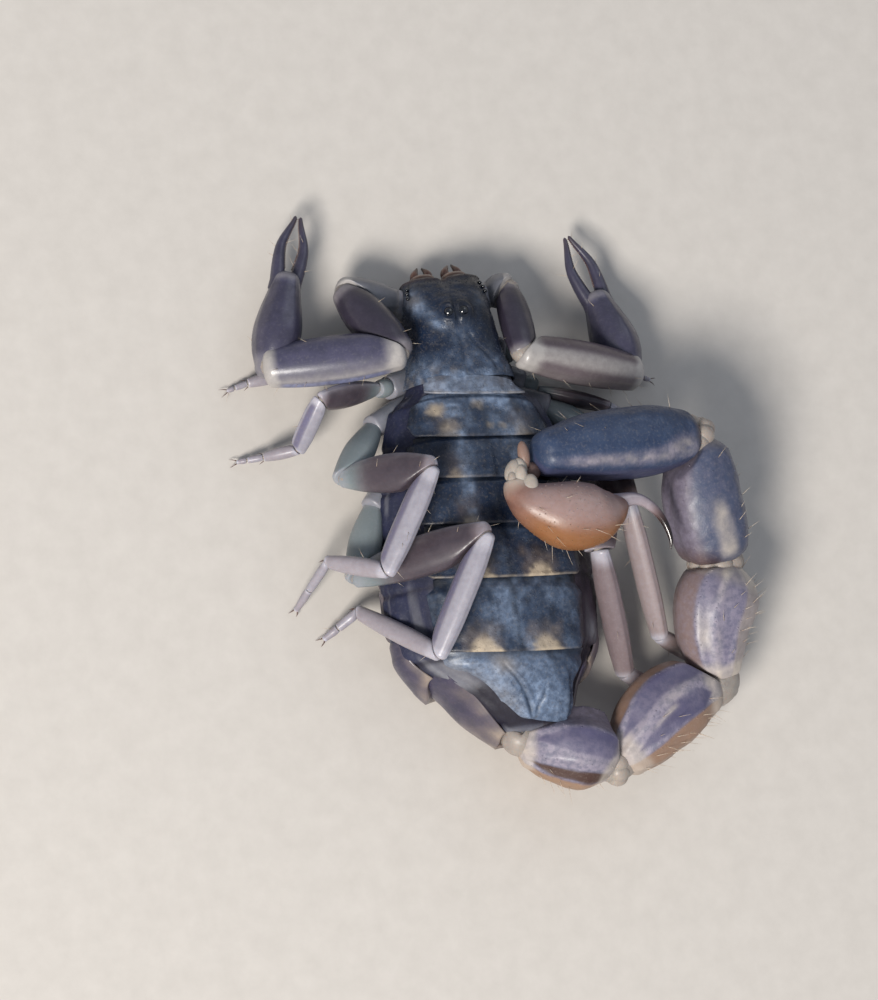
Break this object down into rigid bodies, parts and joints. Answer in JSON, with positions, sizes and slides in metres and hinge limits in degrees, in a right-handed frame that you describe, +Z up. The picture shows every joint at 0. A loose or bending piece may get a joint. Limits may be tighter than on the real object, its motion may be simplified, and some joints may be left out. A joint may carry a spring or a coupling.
{
  "type": "scorpion",
  "caption": "Small thick-tailed scorpion at life size, resting with its legs drawn up and its swollen tail curled round its side, the sting folded over its back.",
  "frame": {"origin": "on the floor, under the middle of the box round the whole animal", "axes": "+Y towards the head end, +X towards the animal's right side, where the tail lies, +Z up"},
  "size_m": [0.0128, 0.0156, 0.0047],
  "materials": {
    "dark_cuticle": "dark slate-blue cuticle with a waxy gloss, granulated and mottled with pale cream",
    "limb_cuticle": "pale grey-lilac cuticle with darker slate and brown bands, satin",
    "telson_cuticle": "amber-brown translucent cuticle, smooth and glossy",
    "aculeus_cuticle": "dark brown to black cuticle, polished",
    "eye_lens": "black, clear and highly polished",
    "soft_membrane": "soft, finely wrinkled skin between the plates, dull"
  },
  "bodies": {
    "root": {"metasoma_1": "dark_cuticle", "metasoma_2": "dark_cuticle", "metasoma_3": "dark_cuticle", "metasoma_4": "dark_cuticle", "metasoma_5": "dark_cuticle", "telson_vesicle": "telson_cuticle", "telson_aculeus": "aculeus_cuticle", "leg_left_1_upper": "limb_cuticle", "leg_left_1_patella": "limb_cuticle", "leg_left_1_foot": "limb_cuticle", "leg_left_2_upper": "limb_cuticle", "leg_left_2_patella": "limb_cuticle", "leg_left_2_foot": "limb_cuticle", "leg_left_3_upper": "limb_cuticle", "leg_left_3_patella": "limb_cuticle", "leg_left_3_foot": "limb_cuticle", "leg_left_4_upper": "limb_cuticle", "leg_left_4_patella": "limb_cuticle", "leg_left_4_foot": "limb_cuticle", "leg_right_1_upper": "limb_cuticle", "leg_right_1_patella": "limb_cuticle", "leg_right_1_foot": "limb_cuticle", "leg_right_2_upper": "limb_cuticle", "leg_right_2_patella": "limb_cuticle", "leg_right_2_foot": "limb_cuticle", "leg_right_3_upper": "limb_cuticle", "leg_right_3_patella": "limb_cuticle", "leg_right_3_foot": "limb_cuticle", "leg_right_4_upper": "limb_cuticle", "leg_right_4_patella": "limb_cuticle", "leg_right_4_foot": "limb_cuticle", "pedipalp_left_trochanter": "limb_cuticle", "pedipalp_left_femur": "limb_cuticle", "pedipalp_left_patella": "limb_cuticle", "pedipalp_left_hand": "limb_cuticle", "pedipalp_left_movable_finger": "limb_cuticle", "pedipalp_right_trochanter": "limb_cuticle", "pedipalp_right_femur": "limb_cuticle", "pedipalp_right_patella": "limb_cuticle", "pedipalp_right_hand": "limb_cuticle", "pedipalp_right_movable_finger": "limb_cuticle", "eye_median_left": "eye_lens", "eye_median_right": "eye_lens", "carapace": "dark_cuticle", "chelicera_left": "telson_cuticle", "chelicera_right": "telson_cuticle", "prosoma_underside": "limb_cuticle", "pecten_left": "soft_membrane", "pecten_right": "soft_membrane", "mesosoma_1": "dark_cuticle", "mesosoma_2": "dark_cuticle", "mesosoma_3": "dark_cuticle", "mesosoma_4": "dark_cuticle", "mesosoma_5": "dark_cuticle", "mesosoma_6": "dark_cuticle", "mesosoma_7": "dark_cuticle"}
  },
  "joints": []
}
